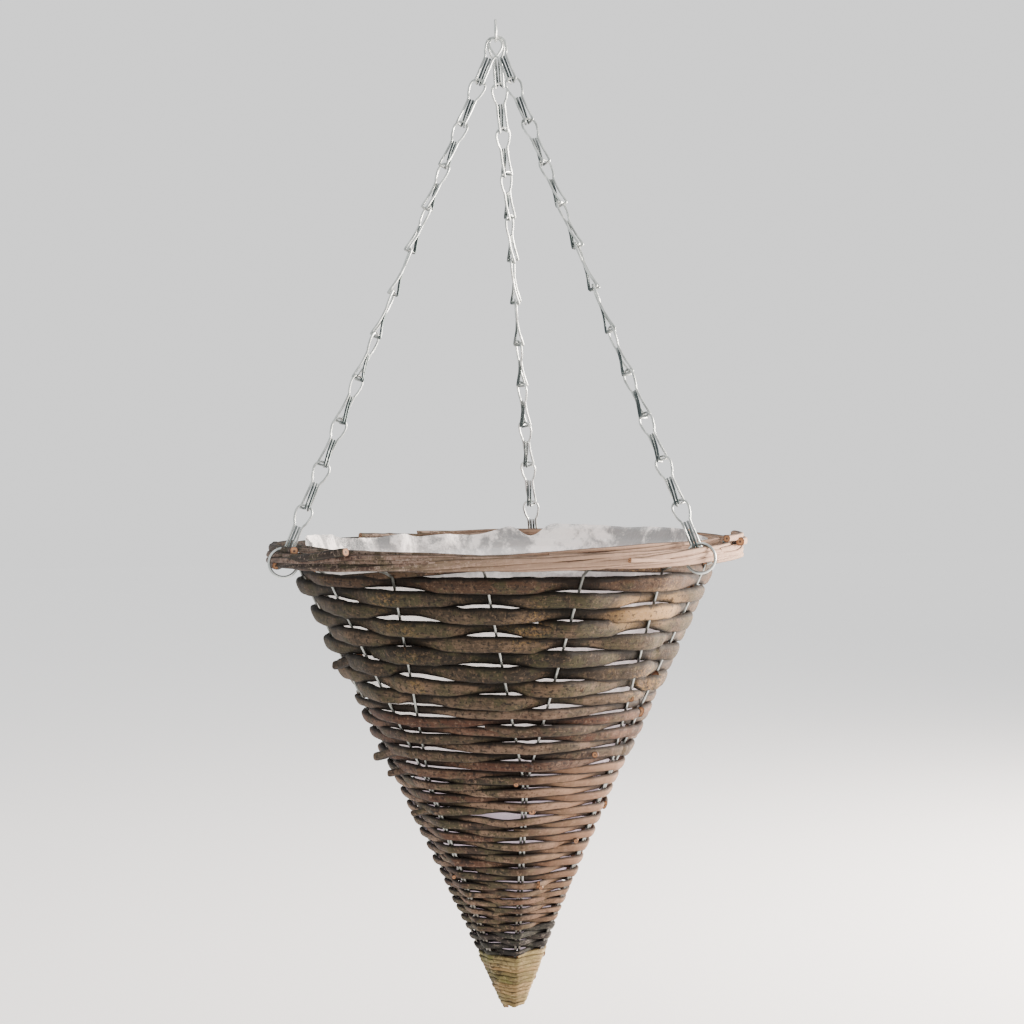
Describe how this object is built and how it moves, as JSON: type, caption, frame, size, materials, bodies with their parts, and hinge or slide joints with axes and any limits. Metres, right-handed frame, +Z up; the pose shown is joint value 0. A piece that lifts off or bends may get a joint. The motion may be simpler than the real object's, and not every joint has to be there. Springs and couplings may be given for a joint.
{
  "type": "cone hanging basket",
  "caption": "Cone-shaped hanging basket of rods woven on bent wires, with a film liner and three wire chains that meet in a top ring.",
  "frame": {"origin": "the hang point: the inner top of the top ring, where a hook bears", "axes": "+Z up, -Y towards the viewer of the picture, +X to that viewer's right"},
  "size_m": [0.3554, 0.3544, 0.7351],
  "materials": {
    "galvanised_wire": "dull bright zinc",
    "thick_willow": "dark bark, matt",
    "brown_willow": "brown bark, matt",
    "fine_willow": "reddish bark, matt",
    "straw_willow": "straw-coloured, matt",
    "border_willow": "grey-brown bark, matt",
    "liner_film": "thin translucent film"
  },
  "bodies": {
    "top_ring": {"top_ring": "galvanised_wire"},
    "basket": {"left_chain_link_01": "galvanised_wire", "left_chain_link_02": "galvanised_wire", "left_chain_link_03": "galvanised_wire", "left_chain_link_04": "galvanised_wire", "left_chain_link_05": "galvanised_wire", "left_chain_link_06": "galvanised_wire", "left_chain_link_07": "galvanised_wire", "left_chain_link_08": "galvanised_wire", "left_chain_link_09": "galvanised_wire", "left_chain_link_10": "galvanised_wire", "left_chain_link_11": "galvanised_wire", "left_chain_link_12": "galvanised_wire", "right_chain_link_01": "galvanised_wire", "right_chain_link_02": "galvanised_wire", "right_chain_link_03": "galvanised_wire", "right_chain_link_04": "galvanised_wire", "right_chain_link_05": "galvanised_wire", "right_chain_link_06": "galvanised_wire", "right_chain_link_07": "galvanised_wire", "right_chain_link_08": "galvanised_wire", "right_chain_link_09": "galvanised_wire", "right_chain_link_10": "galvanised_wire", "right_chain_link_11": "galvanised_wire", "right_chain_link_12": "galvanised_wire", "rear_chain_link_01": "galvanised_wire", "rear_chain_link_02": "galvanised_wire", "rear_chain_link_03": "galvanised_wire", "rear_chain_link_04": "galvanised_wire", "rear_chain_link_05": "galvanised_wire", "rear_chain_link_06": "galvanised_wire", "rear_chain_link_07": "galvanised_wire", "rear_chain_link_08": "galvanised_wire", "rear_chain_link_09": "galvanised_wire", "rear_chain_link_10": "galvanised_wire", "rear_chain_link_11": "galvanised_wire", "rear_chain_link_12": "galvanised_wire", "rim_hoop": "galvanised_wire", "stake_wire_1": "galvanised_wire", "stake_wire_2": "galvanised_wire", "stake_wire_3": "galvanised_wire", "stake_wire_4": "galvanised_wire", "stake_wire_5": "galvanised_wire", "stake_wire_6": "galvanised_wire", "stake_wire_7": "galvanised_wire", "thick_rod_one": "thick_willow", "thick_rod_two": "thick_willow", "middle_rod": "brown_willow", "fine_rod": "fine_willow", "tip_rod": "straw_willow", "inner_border_rod": "border_willow", "outer_border_rod": "border_willow", "lower_border_rod": "border_willow", "film_liner": "liner_film"},
    "left_rim_ring": {"left_rim_ring": "galvanised_wire"},
    "right_rim_ring": {"right_rim_ring": "galvanised_wire"}
  },
  "joints": [
    {"name": "basket_swing", "type": "hinge", "parent": "top_ring", "child": "basket", "pos_m": [0, 0, -0.0141], "axis": [0, 1, 0], "range_deg": [-45, 45]},
    {"name": "left_ring_turn", "type": "hinge", "parent": "basket", "child": "left_rim_ring", "pos_m": [-0.1599, -0.0646, -0.39412], "axis": [-0.0632, 0.988, -0.141], "continuous": true},
    {"name": "right_ring_turn", "type": "hinge", "parent": "basket", "child": "right_rim_ring", "pos_m": [0.13773, -0.10377, -0.39415], "axis": [-0.2381, -0.9566, 0.1678], "continuous": true}
  ]
}
